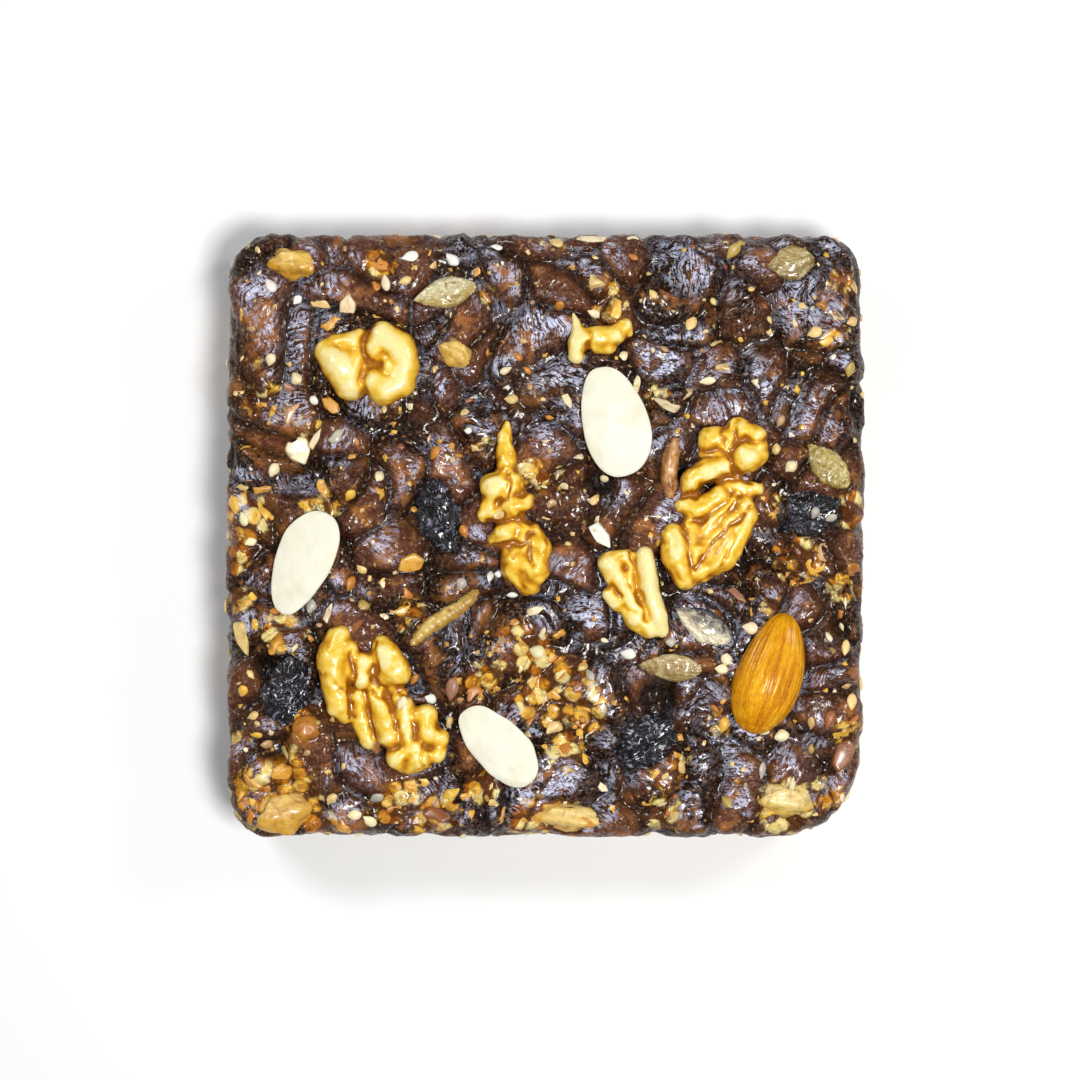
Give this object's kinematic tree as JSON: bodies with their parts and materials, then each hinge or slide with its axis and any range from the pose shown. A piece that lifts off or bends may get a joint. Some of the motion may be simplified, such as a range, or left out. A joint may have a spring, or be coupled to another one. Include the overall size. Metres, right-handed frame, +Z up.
{
  "type": "date halwa slab",
  "caption": "Square pressed slab of dark date paste full of seeds and nut chips, with walnut kernels and whole and split almonds set in its top",
  "frame": {"origin": "middle of the slab's flat underside", "axes": "+X along the slab's longer side, to the right as seen from above; +Y to the top edge as seen from above; +Z up out of the nut-covered top"},
  "size_m": [0.1305, 0.1228, 0.0304],
  "materials": {
    "date_paste": "dark sticky date paste, glossy and wrinkled",
    "walnut": "peeled walnut kernel with a thin syrup glaze",
    "almond_skin": "glazed brown almond skin with lengthwise wrinkles",
    "almond_flesh": "matt cream almond flesh",
    "seed_hull": "greenish tan melon seed hull, satin",
    "raisin": "black wrinkled raisin skin, glossy",
    "cashew": "golden roasted nut, satin"
  },
  "bodies": {
    "root": {"date_slab": "date_paste", "walnut_upper_left": "walnut", "walnut_middle": "walnut", "walnut_top": "walnut", "walnut_right": "walnut", "walnut_small_right": "walnut", "walnut_lower_left": "walnut", "almond_whole": "almond_skin", "almond_half_upper": "almond_flesh", "almond_half_left": "almond_flesh", "almond_half_lower": "almond_flesh", "melon_seed_top": "seed_hull", "melon_seed_corner": "seed_hull", "melon_seed_right": "seed_hull", "melon_seed_middle": "seed_hull", "melon_seed_lower": "seed_hull", "raisin_left": "raisin", "raisin_pit": "raisin", "raisin_right": "raisin", "raisin_middle": "raisin", "cashew_chunk_corner": "cashew", "cashew_chunk_lower_left": "cashew", "cashew_chunk_lower": "cashew", "cashew_chunk_right": "cashew", "cashew_chunk_left": "cashew", "fig_strip": "cashew"}
  },
  "joints": []
}
